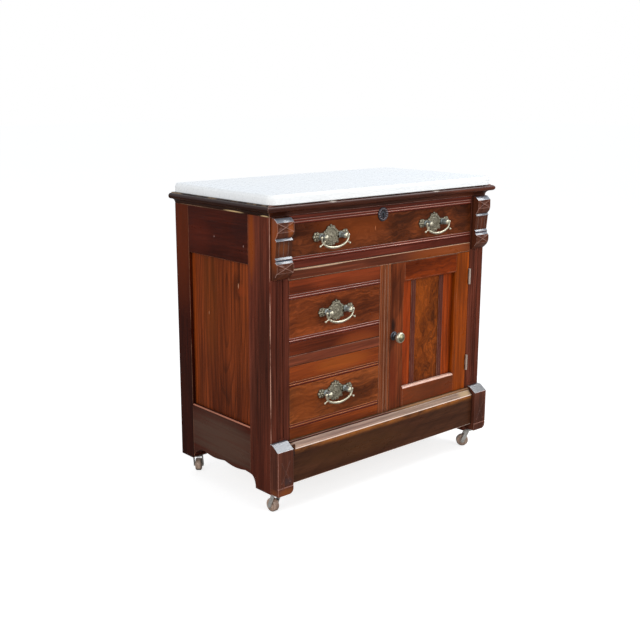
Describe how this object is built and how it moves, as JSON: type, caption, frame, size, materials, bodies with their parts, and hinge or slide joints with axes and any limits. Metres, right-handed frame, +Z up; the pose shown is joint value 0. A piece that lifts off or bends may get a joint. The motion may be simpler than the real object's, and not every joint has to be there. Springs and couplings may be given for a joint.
{
  "type": "washstand",
  "caption": "Upright washstand: stone slab on a framed wooden case with a wide drawer over short drawers and a panelled cupboard door, on swivelling casters.",
  "frame": {"origin": "on the floor under the middle of the whole outline", "axes": "+X to the right along the front, +Y to the back, +Z up; the drawers and the door face -Y"},
  "size_m": [0.736, 0.38, 0.715],
  "materials": {
    "marble": "polished, faintly veined",
    "dark_walnut": "dark varnish, rubbed on the arrises",
    "walnut": "satin varnish",
    "burl_panel": "figured veneer, satin varnish",
    "drawer_wood": "bare secondary wood",
    "aged_brass": "aged, bright on the high spots",
    "dark_iron": "dark, worn",
    "steel": "dull, aged",
    "wheel_wood": "turned hardwood, worn"
  },
  "bodies": {
    "case": {"marble_top": "marble", "cornice_front": "dark_walnut", "cornice_left": "dark_walnut", "cornice_right": "dark_walnut", "top_rail_rear": "drawer_wood", "post_left": "walnut", "post_right": "walnut", "rear_post_left": "walnut", "rear_post_right": "walnut", "side_panel_left": "burl_panel", "side_panel_right": "burl_panel", "side_top_rails": "dark_walnut", "side_bottom_rails": "dark_walnut", "centre_stile": "walnut", "partition": "drawer_wood", "drawer_rail_upper": "walnut", "drawer_rail_middle": "walnut", "base_rail": "dark_walnut", "base_ledge": "walnut", "base_blocks": "dark_walnut", "corner_brackets": "dark_walnut", "bottom_board": "drawer_wood", "back_panel": "drawer_wood", "drawer_runners": "drawer_wood", "hinge_post_leaves": "steel", "caster_sockets": "dark_iron"},
    "long_drawer": {"long_drawer_front": "walnut", "long_drawer_box": "drawer_wood", "long_drawer_bottom": "drawer_wood", "long_drawer_pulls": "aged_brass", "escutcheon": "dark_iron", "drawer_lock": "steel"},
    "middle_drawer": {"middle_drawer_front": "walnut", "middle_drawer_box": "drawer_wood", "middle_drawer_bottom": "drawer_wood", "middle_drawer_pull": "aged_brass"},
    "lower_drawer": {"lower_drawer_front": "walnut", "lower_drawer_box": "drawer_wood", "lower_drawer_bottom": "drawer_wood", "lower_drawer_pull": "aged_brass"},
    "door": {"door_stiles": "walnut", "door_rails": "walnut", "door_panel": "burl_panel", "door_beads": "dark_walnut", "hinge_door_leaves": "steel", "knob_rose": "dark_iron"},
    "knob": {"door_knob": "aged_brass", "latch_cam": "steel"},
    "long_bail_left": {"long_drawer_bail_left": "aged_brass"},
    "long_bail_right": {"long_drawer_bail_right": "aged_brass"},
    "middle_bail": {"middle_drawer_bail": "aged_brass"},
    "lower_bail": {"lower_drawer_bail": "aged_brass"},
    "horn_fl": {"caster_horn_fl": "steel"},
    "wheel_fl": {"caster_wheel_fl": "wheel_wood"},
    "horn_fr": {"caster_horn_fr": "steel"},
    "wheel_fr": {"caster_wheel_fr": "wheel_wood"},
    "horn_rl": {"caster_horn_rl": "steel"},
    "wheel_rl": {"caster_wheel_rl": "wheel_wood"},
    "horn_rr": {"caster_horn_rr": "steel"},
    "wheel_rr": {"caster_wheel_rr": "wheel_wood"}
  },
  "joints": [
    {"name": "long_drawer_slide", "type": "slide", "parent": "case", "child": "long_drawer", "axis": [0, -1, 0], "range_m": [0, 0.26]},
    {"name": "middle_drawer_slide", "type": "slide", "parent": "case", "child": "middle_drawer", "axis": [0, -1, 0], "range_m": [0, 0.26]},
    {"name": "lower_drawer_slide", "type": "slide", "parent": "case", "child": "lower_drawer", "axis": [0, -1, 0], "range_m": [0, 0.26]},
    {"name": "door_hinge", "type": "hinge", "parent": "case", "child": "door", "pos_m": [0.2974, -0.1634, 0.35], "axis": [0, 0, 1], "range_deg": [0, 120]},
    {"name": "knob_turn", "type": "hinge", "parent": "door", "child": "knob", "pos_m": [0.0287, -0.16, 0.352], "axis": [0, 1, 0], "range_deg": [0, 90]},
    {"name": "long_bail_left_swing", "type": "hinge", "parent": "long_drawer", "child": "long_bail_left", "pos_m": [-0.178, -0.176, 0.6145], "axis": [-1, 0, 0], "range_deg": [-18, 95]},
    {"name": "long_bail_right_swing", "type": "hinge", "parent": "long_drawer", "child": "long_bail_right", "pos_m": [0.158, -0.176, 0.6145], "axis": [-1, 0, 0], "range_deg": [-18, 95]},
    {"name": "middle_bail_swing", "type": "hinge", "parent": "middle_drawer", "child": "middle_bail", "pos_m": [-0.161, -0.176, 0.444], "axis": [-1, 0, 0], "range_deg": [-18, 95]},
    {"name": "lower_bail_swing", "type": "hinge", "parent": "lower_drawer", "child": "lower_bail", "pos_m": [-0.162, -0.176, 0.2555], "axis": [-1, 0, 0], "range_deg": [-18, 95]},
    {"name": "caster_fl_swivel", "type": "hinge", "parent": "case", "child": "horn_fl", "pos_m": [-0.328, -0.152, 0.05], "axis": [0, 0, 1], "continuous": true},
    {"name": "caster_fl_roll", "type": "hinge", "parent": "horn_fl", "child": "wheel_fl", "pos_m": [-0.32849, -0.13801, 0.0155], "axis": [-0.9994, -0.0349, 0], "continuous": true},
    {"name": "caster_fr_swivel", "type": "hinge", "parent": "case", "child": "horn_fr", "pos_m": [0.328, -0.152, 0.05], "axis": [0, 0, 1], "continuous": true},
    {"name": "caster_fr_roll", "type": "hinge", "parent": "horn_fr", "child": "wheel_fr", "pos_m": [0.3176, -0.14263, 0.0155], "axis": [-0.6691, -0.7431, 0], "continuous": true},
    {"name": "caster_rl_swivel", "type": "hinge", "parent": "case", "child": "horn_rl", "pos_m": [-0.322, 0.164, 0.05], "axis": [0, 0, 1], "continuous": true},
    {"name": "caster_rl_roll", "type": "hinge", "parent": "horn_rl", "child": "wheel_rl", "pos_m": [-0.31263, 0.1744, 0.0155], "axis": [-0.7431, 0.6691, 0], "continuous": true},
    {"name": "caster_rr_swivel", "type": "hinge", "parent": "case", "child": "horn_rr", "pos_m": [0.322, 0.164, 0.05], "axis": [0, 0, 1], "continuous": true},
    {"name": "caster_rr_roll", "type": "hinge", "parent": "horn_rr", "child": "wheel_rr", "pos_m": [0.31053, 0.15597, 0.0155], "axis": [0.5736, -0.8192, 0], "continuous": true}
  ]
}
